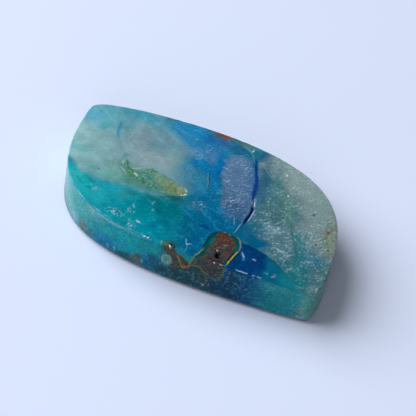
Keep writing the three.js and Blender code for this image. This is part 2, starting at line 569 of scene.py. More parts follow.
def paint_turquoise_band(gem):
    """The clear turquoise in front of the milky part."""
    side = [(-2, 2), (-1.7, -4), (-1.3, -7), (-0.3, -10)]
    gem.within(gem.below(VEIL_EDGE, 0.45, 1.2), gem.left_of(side, 1.6, 2))
    gem.blob("0e8c9e", (-8, -7), (12, 7), 0, 0.1)
    gem.blob("36adb4", (-14.2, -4.4), (1.8, 2), -40)
    gem.blob("20a0ac", (-11.6, -5.4), (2.2, 1.3), -30)
    gem.blob("1898ac", (-9.6, -4.4), (1, 0.7), -10)
    gem.blob("2c9098", (-7.8, -4.6), (1.1, 0.8), 0, 0.8)
    gem.spot("08a4a4", (-12.9, -4.4), (0.7, 0.45), -40, 0.8, 0.8)
    gem.spot("0aa0a8", (-12.2, -5.1), (0.5, 0.3), -30, 0.8, 0.8)
    gem.spot("089eb0", (-14.5, -3.2), (0.3, 0.35), 0, 0.8, 0.8)
    gem.spot("0e8a8e", (-7, -3.9), (0.9, 0.4), 0, 0.8, 0.7)
    gem.blob("007a8a", (-4.6, -5.6), (2.4, 1.5))
    gem.blob("0e6c76", (-3.6, -4.1), (2.8, 0.8))
    gem.blob("1e5e68", (-2.2, -3.4), (1.1, 0.7))
    gem.blob("00829c", (-3.6, -8), (2, 1.2))
    gem.blob("008494", (-6.4, -7.2), (1.4, 1.4))
    gem.blob("006c80", (-1.6, -6.2), (1.7, 2))
    gem.blob("006678", (-2.4, -5), (1.3, 1))
    gem.wisps("08a6b8", 0.8, 0.54, 0.7, 0.35)
    gem.wisps("005a70", 0.9, 0.46, 0.32, 0.4)
    gem.grit("20a8bc", "005a6e", 0.16)
    gem.within()
    gem.glints((-8, -7.5), (1, 0.5), 0.7, -10)
    gem.glints((-6.55, -6.5), (0.35, 0.6), 0.75, 15)
    gem.glints((-5.9, -8.3), (0.7, 0.35), 0.6, -40)
    gem.glints((-11.4, -5.4), (0.9, 0.4), 0.3, -20)
    gem.spot("6cb0c0", (-4.45, -4.7), (0.1, 0.35), -12, 0.5, 0.5)
    gem.spot("5ca8b8", (-4.15, -5.65), (0.16, 0.2), -20, 0.6, 0.5)
    gem.spot("9cc8d2", (-5.1, -7.85), (0.26, 0.14), -20, 0.5, 0.7)


def paint_left_veil(gem):
    """The milky, mint and grey left half."""
    gem.within(gem.above(VEIL_EDGE, 0.45, 1.2), gem.left_of(VEIL_SIDE, 1.7, 2.5))
    gem.blob("749ba5", (-7.5, 3), (WIDE, WIDE, WIDE), 0, 0.6)
    gem.blob("8ebabd", (-16.2, 0.8), (2.6, 4.6), 0, 0.6)
    gem.blob("7ca8ae", (-13.4, 0.8), (2, 3.4))
    gem.blob("849ea6", (-7.2, 1.9), (3.3, 1.7), 0, 0.6)
    gem.blob("648e9e", (-6.6, 5), (3.2, 1.6))
    gem.blob("76949f", (-9.6, 4.2), (1.6, 1.8))
    gem.blob("5c8e88", (-9.2, -1.3), (1.9, 1.5))
    gem.blob("438078", (-6.6, -2.6), (4, 0.8), 0, 0.5)
    gem.blob("38787a", (-4, -3.1), (2.8, 0.6), 0, 0.6)
    gem.blob("68a3a2", (-11.6, -2.4), (2.4, 0.9))
    gem.blob("3e94aa", (-10.2, 8.5), (5, 1.1), -3, 0.6)
    gem.blob("5498a9", (-12.2, 6.2), (1.6, 1.8), 0, 0.8, 0.8)
    gem.blob("5ca7b8", (-14.6, 6.6), (1.6, 2), 0, 0.8)
    gem.blob("5aaac8", (-16.4, 6.4), (1.3, 1.7), 0, 0.8, 0.8)
    gem.blob("5aaeb4", (-15.6, 0.1), (1.6, 0.7), 0, 0.8, 0.6)
    gem.blob("50a4b0", (-14.2, 5), (0.6, 0.9), 30, 0.8, 0.7)
    gem.spot("5f7f8e", (-7.7, 3.8), (0.5, 1), 10, 0.8, 0.5)
    gem.wisps("a4c0c4", 1.1, 0.52, 0.7, 0.2)
    gem.wisps("527f8a", 0.8, 0.48, 0.34, 0.18)
    gem.grit("a0bcc0", "5a868c", 0.08)
    gem.within()
    gem.stroke("4a949c", VEIL_EDGE[3:7], 0.9, 0.45, 1, 1)
    gem.stroke("34809e", [(-12.5, 6.2), (-12.3, 5.6), (-12.2, 4.6), (-11.7, 3.4)], 0.38, 0.8)
    gem.spot("4189ac", (-11, 7.8), (0.35, 0.55), 0, 0.8, 0.7)
    gem.spot("4d8198", (-9.9, 1), (0.35, 0.35), 0, 0.8, 0.8)
    gem.spot("3f6f80", (-12, -2.3), (0.15, 0.12), 0, 0.8, 0.8)
    gem.stroke("3f97a8", [(-11.3, 3), (-11, 2.1), (-10.4, 1.4), (-9.9, 0.9)], 0.16, 0.5)
    gem.glints((-2.4, 4.7), (0.9, 0.6), 0.25)
    gem.glints((-1.3, 6.3), (0.35, 0.8), 0.35)
    gem.glints((-2.9, 7.3), (0.25, 0.3), 0.25)


def paint_chalcedony(gem):
    """The grainy grey-green right end."""
    gem.within(gem.right_of(SEAM, 0.12, 0.2), gem.above(WEDGE_TOP, 0.1, 0.15))
    gem.blob("6e8a90", (11, 1), (WIDE, WIDE, WIDE), 0, 0.6)
    gem.blob("7c9498", (14.2, 1.6), (1.9, 3.2))
    gem.blob("7a939a", (7.6, 6.8), (1.8, 1.2), -20)
    gem.blob("76909a", (14.2, -2.8), (1.2, 1))
    gem.blob("8aa2a4", (10.5, 6.2), (4.4, 1.9), -35)
    gem.blob("778479", (16.4, -0.8), (1.4, 3.6), 0, 0.6)
    gem.blob("427584", (7.4, 1.6), (1.6, 4.6), 6, 0.6)
    gem.blob("4d7a80", (9.8, 0.2), (1.7, 2.4), 6)
    gem.blob("3a6a76", (8.8, -1.2), (2.4, 2.6), 0, 0.8, 0.75)
    gem.blob("2f6c84", (7.6, -3.2), (1.5, 1.4))
    gem.blob("4a7785", (11, -5), (2.4, 2.2))
    gem.blob("2a6c7c", (12.2, -7.1), (1.3, 1), -30)
    gem.blob("266a7c", (14.6, -6.4), (2, 2.6))
    gem.blob("466f7a", (16.4, -6.8), (1.2, 2.6))
    gem.blob("24708c", (14.8, -5), (0.9, 0.6), 0, 0.7, 0.9)
    before = gem.limit
    gem.within(before, gem.right_of(BAND_LEFT, 0.12, 0.1))
    gem.blob("307884", (12.4, -3.6), (1.1, 1.8), 25)
    gem.blob("227683", (13.3, -6.2), (0.8, 1.9))
    gem.blob("067078", (13.8, -8.6), (1.2, 1.5), 0, 0.6)
    gem.within(before)
    gem.blob("528a7c", (9.7, 2.2), (0.6, 1.4), 20, 0.7, 0.45)
    gem.blob("3f8274", (7.8, 4.7), (1, 0.35), -42, 0.7, 0.45)
    gem.blob("588a7c", (10.6, 0.1), (0.5, 1.4), 20, 0.7, 0.4)
    gem.grit("a4baba", "365c60", 0.25)
    gem.within(before, gem.below([(6, -2.5), (11, 0), (17, 1.5)], 1.5),
               gem.rest(gem.ball((14.4, -8), (2, 1.8))))
    gem.grit("a4bcbe", "2c565c", 0.14)
    gem.within(before)
    gem.grains("35625e", 0.3, 0.62, 0.7, 0.5)
    gem.grains("b8ccca", 0.36, 0.38, 0.3, 0.5)
    gem.wisps("8ea6a8", 0.8, 0.5, 0.72, 0.2)
    gem.wisps("446e76", 0.6, 0.46, 0.3, 0.25)
    gem.blob("005c82", (7.8, -5.25), (2, 1), -8, 0.6)
    gem.blob("265c7e", (6.2, 3), (0.8, 4.8), 4, 0.7, 0.8)
    gem.within()
    gem.blob("065c80", (6.5, -4.3), (0.9, 2), 12, 0.6, 0.95)
    for place, size, turn in (((8.8, -2.6), (0.5, 0.3), -20), ((10, -2.6), (0.45, 0.35), 30)):
        gem.spot("7fa6bc", place, (size[0] + 0.1, size[1] + 0.1), turn, 0.9, 0.6)
        gem.glints(place, size, 0.75, turn)
    gem.glints((9.2, -1.6), (0.5, 0.3), 0.3)
    gem.glints((13.3, -1.6), (0.7, 0.4), 0.35, -20)
    gem.stroke("b4ccd0", [(10.4, -5.1), (10.9, -5.25), (11.4, -5.2)], 0.2, 0.7, 0.9)
    gem.stroke("9cbcc2", [(11.5, -5.7), (12, -5.4), (12.5, -5)], 0.16, 0.5, 0.9)
    gem.glints((10.9, -6), (1.2, 0.4), 0.15, -25)
    gem.glints((15.6, -7.6), (0.6, 0.7), 0.1)
    gem.glints((16.5, -7.2), (0.2, 1), 0.25)
    gem.spot("cfdede", (8.5, 6.2), (0.1, 0.18), 20)
    gem.spot("cfdede", (9.5, 3), (0.1, 0.12))
    gem.spot("a8bcbc", (9.8, 4.6), (0.12, 0.14), 0, 0.6, 0.8)
    gem.spot("7a3a18", (15.3, -0.22), (0.17, 0.24), 0, 0.5, 0.9)
    gem.spot("6d6a3e", (15.3, -1), (0.2, 0.2), 0, 0.8, 0.7)
    for place in ((14.45, -2.6), (15.95, -2.75)):
        gem.spot("9fb0a4", place, (0.34, 0.3), 0, 0.6, 0.5)
        gem.spot("2c4a40", place, (0.15, 0.16), 0, 0.7, 0.9)
    gem.spot("3f7a9c", (11.4, -0.1), (0.3, 0.22), 20, 0.8, 0.7)
    gem.spot("3f7a94", (10.8, 1.6), (0.2, 0.2), 0, 0.8, 0.7)
    gem.spot("2f5e66", (13.1, 1.6), (0.17, 0.2), 0, 0.8, 0.8)


def paint_oval(gem):
    """The lavender, grainy lens right of the middle."""
    gem.within(gem.right_of(OVAL_LEFT, 0.45, 2.2), gem.left_of(SEAM, 0.12, 0.2),
               gem.below(OVAL_TOP, 0.8, 2.4),
               gem.step(gem.clouded(gem.split(gem.fine)[1], 2), -4, -1.4))
    gem.blob("4e7296", (3.5, 2), (WIDE, WIDE, WIDE), 0, 0.6)
    gem.blob("5c80a2", (2.4, 5), (1.4, 1.8))
    gem.blob("52769a", (3.2, 3), (1.4, 1.8))
    gem.blob("3a5e86", (4.2, -1.6), (1.7, 1.3))
    gem.blob("205680", (4.6, -3.1), (2, 1.2))
    gem.blob("3c6e9c", (5, 3.6), (0.5, 2.4), 8)
    gem.grit("9aacc8", "284878", 0.36)
    gem.grains("8ea4c4", 0.5, 0.54, 0.72, 0.12)
    gem.within()
    gem.glints((4, -1), (0.8, 0.8), 0.3)


def paint_wedge(gem):
    """The navy wedge at the front, right of the brown inclusion, with painted glints on its hollows."""
    left = [(6.4, -5.5), (6.7, -6.4), (6.6, -7.2), (6.3, -8), (6, -9.6)]
    navy_end = [(9.4, -6), (9.9, -7), (10.1, -7.8), (9.9, -8.6), (9.9, -9.6)]
    gem.within(gem.below(WEDGE_TOP, 0.1, 0.15), gem.right_of(left, 0.15, 0.1))
    gem.blob("06607e", (11, -8), (WIDE, WIDE, WIDE), 0, 0.6)
    gem.blob("0f7a84", (13, -8.6), (1.2, 0.9), 0, 0.6)
    gem.lay("01386e", gem.left_of(navy_end, 0.45, 1.4))
    gem.grains("0a5088", 0.5, 0.5, 0.66, 0.5)
    gem.within()
    gem.stroke("0a4a5c", WEDGE_TOP[1:7], 0.16, 0.7)
    # Painted glints: a blue-white crescent with bright blue round it and a pale dot where the hollows catch
    # the light, and pale lumps further right.
    gem.stroke("2f86a8", [(6.95, -7.35), (7.3, -7.75), (7.5, -8.2)], 0.3, 0.6, 0.8, 0.1)
    gem.stroke("acc8e0", [(7, -7.15), (7.2, -7.4), (7.45, -7.8)], 0.15, 0.75, 0.9, 0.1)
    gem.spot("98b0d0", (8.55, -7.6), (0.22, 0.12), -10, 0.6, 0.7)
    gem.glints((10.9, -8.7), (0.5, 0.25), 0.5)
    gem.blob("16707e", (13.2, -8.6), (1.2, 0.7), -30, 0.8, 0.8)


def paint_veins(gem):
    """The navy seam with its open crack and painted glints along it, and the finer lines near it."""
    gem.stroke("0c5a88", [(5.3, 8.9), (4.95, 7.6), (4.75, 6.8)], 0.8, 0.8)
    gem.stroke("06387c", [(4.3, 7.1), (4.65, 6), (5, 5), (5.35, 4), (5.6, 3), (5.72, 2), (5.82, 1),
                          (6, 0.4)], 0.44, 1, 0.9)
    gem.stroke("0a3c84", [(5.4, 4), (5.6, 3), (5.68, 2), (5.75, 1.2)], 0.5, 0.8)
    gem.stroke("061c5c", [(6.15, -0.5), (6.3, -1.2), (6.2, -2), (6, -3), (5.85, -3.5)], 0.4, 1, 0.8,
               0.2)
    # Painted glints along the open crack.
    gem.stroke("dce8ee", [(6.02, 0.9), (6.2, 0.2), (6.35, -0.3)], 0.12, 0.55, 0.9, 0.15)
    gem.stroke("b4ccdc", [(6.55, -0.9), (6.48, -1.8), (6.28, -2.7)], 0.1, 0.6, 0.9, 0.2)
    gem.stroke("6aa6b4", [(2.3, 8.75), (3.3, 8.2), (3.9, 7.4), (4.4, 6.5)], 0.2, 0.8)
    gem.stroke("10506a", [(2.2, 8.2), (3.2, 7.8), (3.9, 7.2)], 0.3, 0.6)
    gem.spot("2c6c80", (4.2, 8.1), (0.6, 0.8), 0, 0.8, 0.8)
    gem.spot("a4ccd4", (3.65, 8.4), (0.13, 0.26), -10)
    gem.stroke("7fb0c4", [(5.8, -3.3), (5.55, -4.2), (5.4, -4.9)], 0.12, 0.65, 0.8, 0.2)
    gem.stroke("7f9cc0", [(4.7, -2.9), (4.85, -3.4), (5, -3.9)], 0.14, 0.6, 0.8, 0.2)
    gem.stroke("7aa6a0", [(4.9, 7.1), (6, 5.9), (7.2, 4.7)], 0.2, 0.4)
    gem.stroke("0a4a66", [(0, 2.4), (0.25, 1.5), (0.5, 0.7), (0.6, 0)], 0.2, 0.65, 1, 0.2)
    gem.stroke("7fb4c4", [(-0.15, 2.2), (0.12, 1.4), (0.36, 0.7), (0.46, 0)], 0.1, 0.28, 1, 0.2)
    gem.stroke("245e6c", BAND_LEFT[1:-1], 0.2, 0.6)
    gem.glints((0.3, -2.9), (0.65, 0.5), 0.35)
    # A pale T of painted glints, with a blue line down from it.
    gem.stroke("8cb8cc", [(0.68, -8), (0.8, -8.4), (0.92, -8.7)], 0.16, 0.7, 0.9, 0.1)
    gem.stroke("8cb8cc", [(0.9, -8.7), (1.15, -8.55), (1.4, -8.4)], 0.16, 0.7, 0.9, 0.1)
    gem.stroke("3c86a4", [(1, -8.8), (1.1, -9.2), (1, -9.7)], 0.14, 0.7, 0.9, 0.1)


def paint_green_inclusion(gem):
    """The yellow-green feather in the milky part, with dark green veins at its left end and a painted
    shadow line under its right end.
    """
    top = [(-8.6, -1.6), (-8, -1), (-7, -0.3), (-6.2, -0.1), (-5.5, -0.2), (-4, -0.5), (-3, -0.85),
           (-2, -1.1), (-1.2, -1.85)]
    bottom = [(-8.6, -1.6), (-7.4, -2.2), (-6, -2.6), (-4.5, -2.9), (-3.3, -3.15), (-2.6, -2.85),
              (-1.9, -2.5), (-1.2, -1.75)]
    body = gem.product(gem.below(top, 0.12, 1.4), gem.above(bottom, 0.15, -1.4))
    gem.within(body)
    gem.blob("4c8272", (-6, -1.5), (WIDE, WIDE, WIDE), 0, 0.5, 0.8)
    gem.blob("4a8a82", (-6.6, -1.3), (1.2, 0.7), -10, 0.8)
    gem.blob("6d927a", (-4.6, -0.95), (1.6, 0.5), -16, 0.8)
    gem.blob("6c8668", (-3.4, -1.7), (1.4, 0.75), -20, 0.8)
    gem.blob("808e76", (-2.3, -1.7), (0.6, 0.45), -30, 0.8)
    gem.lay("646438", gem.product(gem.step(gem.noise(0.35, 3), 0.54, 0.66),
                                  gem.ball((-3.4, -1.6), (1.5, 0.8), -20)), 0.4)
    # Painted light and shade on its grains.
    gem.lay("a8b48c", gem.step(gem.relief, 0.04, 0.24), 0.35)
    gem.lay("2c6650", gem.step(gem.relief, -0.05, -0.22), 0.4)
    gem.within(body, gem.ball((-6.1, -2), (1.5, 0.6), -8))
    gem.grains("14564a", 0.3, 0.5, 0.6, 0.75)
    # Painted light on the grains of its dark part.
    gem.lay("88b0a2", gem.step(gem.relief, 0.06, 0.2), 0.25)
    gem.within()
    gem.spot("5c6626", (-2.75, -1.95), (0.16, 0.28), 20, 0.8, 0.8)
    gem.spot("5c6626", (-3.15, -2.3), (0.12, 0.2), -20, 0.8, 0.7)
    tip = gem.line([(-1.95, -1.25), (-1.5, -1.7), (-1.6, -2.1), (-2, -2.45)], 0.22, 0.9, 0.15)
    gem.lay("d0d4c4", gem.product(tip, gem.step(gem.relief, -0.12, 0.06)), 0.9)
    gem.spot("dce0d4", (-1.82, -2.25), (0.22, 0.1), 40, 0.6, 0.8)

    vein = [(-9.7, 0.35), (-9.4, 0.05), (-9.15, -0.45), (-8.8, -0.85), (-8.4, -1.05), (-8.1, -1.5),
            (-7.85, -2)]
    gem.blob("4c8462", (-8.4, -1.3), (0.7, 0.5), -50, 0.8, 0.9)
    gem.stroke("84a884", [(x - 0.12, y - 0.08) for x, y in vein], 0.3, 0.5, 1, 0.2)
    gem.stroke("2f6848", vein, 0.2, 0.8, 1, 0.2)
    for place, size, turn in (((-9.3, -0.15), (0.2, 0.3), 20), ((-8.95, -0.85), (0.25, 0.14), 0),
                              ((-8.35, -1), (0.3, 0.18), -20), ((-8.2, -1.75), (0.16, 0.35), 20)):
        gem.spot("3a6838", place, size, turn, 0.9, 0.6)
    gem.stroke("a8c8ac", [(-9.75, -1.05), (-9.3, -1.35), (-8.9, -1.65)], 0.14, 0.75, 1, 0.2)
    gem.glints((-9.2, -1.7), (0.45, 0.4), 0.22)
    gem.spot("9cc8c0", (-9.85, -0.2), (0.1, 0.25), 15, 0.8, 0.6)
    gem.spot("ccd0bc", (-7.8, -1.45), (0.32, 0.13), -35, 0.7, 0.8)
    gem.stroke("a4bcbc", [(-8.6, -0.72), (-8, -0.52), (-7.4, -0.15)], 0.13, 0.6, 1, 0.2)
    gem.stroke("2c6c4c", [(-6.35, 0.12), (-6, -0.05), (-5.5, -0.12)], 0.24, 0.8, 1, 0.15)
    gem.stroke("3f7a5c", [(-6.75, -0.85), (-6.4, -0.45), (-6.2, -0.1)], 0.2, 0.6, 1, 0.15)
    gem.stroke("4a7c60", [(-5, -0.22), (-3.8, -0.55), (-2.4, -1)], 0.14, 0.55)
    # A painted shadow line under the feather's right end.
    gem.stroke("0f5450", [(-3.6, -3.3), (-2.8, -3.05), (-2, -2.7), (-1.5, -2.2)], 0.26, 0.85, 1, 0.2)
    gem.blob("0a5c64", (-2.4, -3.2), (1.2, 0.4), 12, 0.8, 0.8)


def paint_brown_inclusion(gem):
    """The rusty finger at the front, in its green rim and yellow outline, with painted shade and a painted
    highlight at its pit and painted shadow along the chipped edge in front.
    """
    rim_left = [(4.4, -5.3), (3.6, -5.65), (3, -6.5), (2.8, -8), (2.4, -9.6)]
    rim_right = [(5, -5.3), (5.9, -5.5), (6.45, -6.2), (6.62, -7), (6.4, -7.7), (6.1, -8.6), (5.9, -9.6)]
    left = [(4.2, -5.4), (3.75, -5.8), (3.65, -6.5), (3.7, -7.2), (3.45, -7.9), (3.25, -8.6), (3, -9.6)]
    right = [(4.6, -5.4), (5.1, -5.75), (5.75, -6.15), (6.05, -6.7), (5.95, -7.4), (5.85, -8.2),
             (5.6, -9.6)]
    front = gem.step(gem.split(gem.fine)[1], -5.2, -5.45)
    shallow = gem.step(gem.depth, 0.5, 0.3)
    gem.within(gem.right_of(rim_left, 0.12), gem.left_of(rim_right, 0.08, 0.2), front, shallow)
    gem.blob("08484e", (4, -7), (WIDE, WIDE, WIDE), 0, 0.6)
    gem.spot("0a5450", (6.25, -7.1), (0.3, 0.6), 0, 0.7)
    gem.spot("1c6c70", (3.45, -7.1), (0.2, 0.5), -10, 0.7, 0.7)
    gem.within(gem.right_of(left, 0.12, 1), gem.left_of(right, 0.12, 1), front, shallow)
    gem.blob("4e382f", (4.8, -6.4), (WIDE, WIDE, WIDE), 0, 0.6)
    gem.blob("54382e", (5.2, -6.4), (0.8, 0.6))
    gem.blob("40393f", (4.6, -8.5), (1.7, 1.4), 0, 0.5)
    gem.blob("36464a", (3.4, -8.6), (0.5, 1.2), 0, 0.6)
    gem.grains("66483a", 0.4, 0.52, 0.68, 0.4)
    gem.grit("80645a", "181416", 0.3)
    gem.spot("56706c", (5.05, -7.1), (0.3, 0.13), 20, 0.6, 0.9)
    gem.spot("665650", (5.4, -8.2), (0.3, 0.3), 0, 0.4, 0.7)
    gem.spot("3a3236", (5.4, -8.2), (0.17, 0.17), 0, 0.5, 0.8)
    # Painted shade in the pit and beside it, and a painted highlight on its rim.
    gem.spot("0b080b", (4.25, -8.2), (0.16, 0.2), 0, 0.5, 0.9)
    gem.spot("0b080b", (4.65, -8.7), (0.36, 0.42))
    gem.spot("8c9ca0", (4.38, -8.12), (0.1, 0.13), 0, 0.6, 0.9)
    gem.within(gem.step(gem.depth, 0.6, 0.4))
    gem.stroke("02262e", [(4.2, -5.5), (3.5, -5.8), (3.02, -6.6), (2.88, -7.4), (2.7, -8.2)], 0.2, 0.7)
    gem.stroke("020c20", [(6.75, -7.4), (6.5, -8), (6.25, -8.7), (6.08, -9.3)], 0.16, 0.7)
    gem.stroke("04201e", [(6.3, -7.5), (6.1, -8.1), (5.9, -8.7), (5.75, -9.3)], 0.2, 0.8)
    broken = gem.step(gem.noise(GRAIN), 0.35, 0.5, 0.4, 1)
    gem.within(gem.limit, broken)
    gem.stroke("9c9850", [(5.3, -5.38), (5.8, -5.48), (6.3, -5.85), (6.55, -6.4), (6.64, -7), (6.44, -7.7)],
               0.13, 0.75)
    gem.stroke("b4a438", [(6.46, -7.5), (6.3, -8.1), (6.1, -8.7), (5.93, -9.4)], 0.16, 0.95, 0.9)
    gem.stroke("8f9440", [(2.85, -8.5), (2.6, -9.1), (2.3, -9.7)], 0.18, 0.85, 0.8)
    # Painted shadow along the chipped edge in front.
    gem.stroke("120f12", [(3.6, -9.4), (4.6, -9.45), (5.8, -9.5)], 0.16, 0.85, 1, 0.1)
    gem.spot("101412", (4.6, -5.6), (0.18, 0.08), -10, 0.6, 0.8)
    gem.spot("84949c", (4.4, -5.45), (0.14, 0.07), 20, 0.6, 0.7)
    gem.spot("7c9890", (5, -5.5), (0.16, 0.06), -20, 0.6, 0.6)
    gem.within()


def paint_brown_patches(gem):
    """The brown patches at the back edge, and the small dark and yellow one at the front edge, with a
    painted glint on a chip there.
    """
    gem.spot("64503e", (-0.4, 9.4, 0), (1.25, 0.5, 1.5), -3, 0.7)
    gem.spot("84522a", (0.1, 9.2, 0), (0.6, 0.25, 1), 0, 0.9, 0.5)
    gem.spot("5c7c68", (2.6, 8.95, 0), (1.1, 0.4, 1.5), -8, 0.8, 0.8)
    gem.spot("1c4c44", (-0.65, -9.3, 0), (0.8, 0.4, 1), 0, 0.8, 0.8)
    gem.spot("4a3414", (-0.7, -9.9, 0), (0.8, 0.35, 0.8), 0, 0.6)
    for code, place, size, turn in (
            ("66702e", (-1.2, -9.45), (0.26, 0.16, 0.3), -10),
            ("4c3410", (-1.15, -9.75), (0.3, 0.1, 0.4), -10),
            ("5c5420", (-1, -9.12), (0.2, 0.12, 0.3), 30),
            ("10140e", (-0.6, -9.35), (0.24, 0.09, 0.4), -35),
            ("10140e", (-0.2, -9.5), (0.1, 0.18, 0.4), 0),
            ("10140e", (-0.5, -9.78), (0.3, 0.08, 0.4), -12),
            ("1c1608", (-0.35, -9.95), (0.4, 0.12, 0.5), -5),
            # A painted glint on a chip in the front edge.
            ("e0e4d4", (-0.7, -9.56), (0.17, 0.08, 0.4), -35),
            ("7cb4b4", (-1.75, -9.4), (0.07, 0.2, 0.4), 10),
            ("06161c", (-3.42, -9.27), (0.16, 0.1, 0.4), -20)):
        gem.spot(code, place, size, turn, 0.6, 0.9)


def paint_front_wall(gem):
    """The front wall, where the layers show from the side, with a painted sheen on its pale left end, a
    painted highlight along its top there and a painted contact shadow along its foot.
    """
    wall = gem.product(gem.wall, gem.step(gem.split(gem.place)[1], 3, -4))
    gem.within(wall)
    gem.patch("008e9c", (-6, 3.6), (9, 5), 0, 0.3)
    # The pale left end: milky stone with a painted sheen of reflected light.
    gem.patch("6c928e", (-16.8, 3), (1.9, 6), 0, 0.5)
    gem.patch("3c6c68", (-15.8, 1.2), (1.1, 0.9))
    gem.patch("5aa8a8", (-14, 4), (1.3, 2.6))
    gem.patch("3c9896", (-12.2, 4), (1.9, 1.9))
    gem.patch("4c9ca2", (-10.2, 4.8), (1.2, 1.1), 0, 0.8)
    gem.patch("78a4a6", (-10.8, 5.5), (0.5, 0.7), 0, 0.8, 0.8)
    # A painted highlight along the top of the wall.
    gem.patch("6aacb4", (-7.6, 5.5), (2.6, 0.4), 0, 0.8, 0.9)
    # The clear turquoise.
    gem.patch("128e92", (-8.6, 3.2), (2, 0.8))
    gem.patch("00909a", (-5.2, 4), (1.8, 1.2))
    gem.patch("00888e", (-3, 4.1), (1.6, 1.5))
    gem.patch("007274", (-1.6, 4.4), (0.5, 1.4), 0, 0.6)
    # The blue foot at the left.
    gem.patch("00749c", (-8.6, 1.9), (2.2, 0.8), 8)
    gem.patch("0a5e84", (-7.6, 1), (2.8, 0.5))
    gem.patch("74a0aa", (-13.3, 1.5), (0.8, 0.8))
    gem.patch("5c9492", (-14.5, 2), (0.7, 0.9), 0, 0.8, 0.8)
    gem.patch("045878", (-2.4, 2), (1.5, 1.5), 0, 0.5)
    gem.patch("155874", (-1, 1.1), (2.2, 0.9), 0, 0.6)
    # The dark middle and the navy.
    gem.patch("1a3a46", (2.4, 1.5), (4.2, 1.8), 0, 0.4)
    gem.patch("203a3c", (2.5, 3.4), (2.4, 1), 0, 0.5)
    gem.patch("32382f", (4.1, 2.6), (0.35, 0.8), 0, 0.7, 0.8)
    gem.patch("13304c", (6, 1.8), (1.4, 1.4), 0, 0.6)
    gem.patch("0a3252", (7.2, 3.4), (1.5, 3), 0, 0.5)
    gem.patch("00426e", (8.8, 3.6), (1, 3), 0, 0.5)
    gem.patch("055878", (10.3, 3.4), (1.2, 3), 0, 0.5)
    gem.patch("006890", (10.2, 4.9), (0.8, 0.6), 0, 0.8, 0.8)
    gem.patch("0c4c70", (9.6, 2.2), (0.8, 0.8), 0, 0.8, 0.6)
    # The teal right end.
    gem.patch("0e6e7a", (12, 3.2), (1.4, 4), 0, 0.5)
    gem.patch("1a7880", (13.6, 3.4), (1.6, 4))
    gem.patch("2a848c", (11.6, 4.8), (1.3, 1))
    gem.patch("28848a", (14.4, 4.6), (1.2, 0.9))
    gem.patch("508880", (16.4, 3.6), (1.4, 4.5), 0, 0.5)
    gem.grit("44a0a8", "02464e", 0.2)
    gem.wisps("24a4b0", 0.8, 0.56, 0.72, 0.3)
    gem.wisps("044858", 0.6, 0.44, 0.3, 0.3)
    across = gem.split(gem.place)[0]
    gem.within(wall, gem.step(across, -3, 0), gem.step(across, 11, 8))
    gem.grit("4c6c7c", "0a1018", 0.36)
    paint_wall_patches(gem, wall)
    paint_brown_on_the_wall(gem, wall)
    gem.within(wall)
    # Painted contact shadow: darker along the foot of the wall.
    height = gem.split(gem.wall_place)[1]
    gem.lay("1c3838", gem.step(height, 0.75, 0.4), 0.7)
    gem.within()


def paint_wall_patches(gem, wall):
    """The small brown and pale patches low on the front wall."""
    slope = [(-7.6, 0.6), (-6.8, 1), (-6, 1.65), (-5.2, 1.85), (-4.6, 2.2), (-4.1, 2.6), (-3.8, 2.2),
             (-3.5, 0.8)]
    gem.within(wall, gem.below(slope, 0.3, 1.4, gem.wall_place))
    gem.patch("184e58", (-6.2, 1), (1.4, 2), 0, 0.6, 0.85)
    gem.patch("484e4e", (-4.4, 1.4), (0.8, 1.5), 0, 0.6, 0.85)
    gem.within(wall)
    gem.patch("2c6468", (-10.6, 1.3), (0.7, 0.8), 0, 0.7, 0.8)
    gem.patch("5e736c", (-11.6, 1.5), (0.7, 0.85), 0, 0.6, 0.9, 1.8)
    gem.patch("3c4a44", (-11.4, 1.9), (0.2, 0.25), 0, 0.8, 0.7)
    gem.patch("3c4a44", (-11.5, 0.9), (0.6, 0.2), 0, 0.8, 0.7)
    for x, z in ((-8.1, 1.25), (-7.2, 1.4), (-3.65, 1.6)):
        gem.patch("88acbc", (x, z), (0.14, 0.26), 10, 0.8, 0.5)
    gem.patch("a0acb0", (3.85, 1.5), (0.13, 0.16), 0, 0.4, 0.8, 0)
    gem.patch("4a6c7c", (2.6, 1.9), (0.12, 0.3), -20, 0.8, 0.6)
    gem.patch("3c7c84", (10.5, 1.3), (0.7, 0.3), 0, 0.8, 0.6)
    for radius, code in ((0.5, "46584c"), (0.36, "20382c"), (0.14, "0c1a16")):
        gem.patch(code, (3.6, 2.8), (radius, 1.1 * radius), 0, 0.6, 0.8, 0.5)


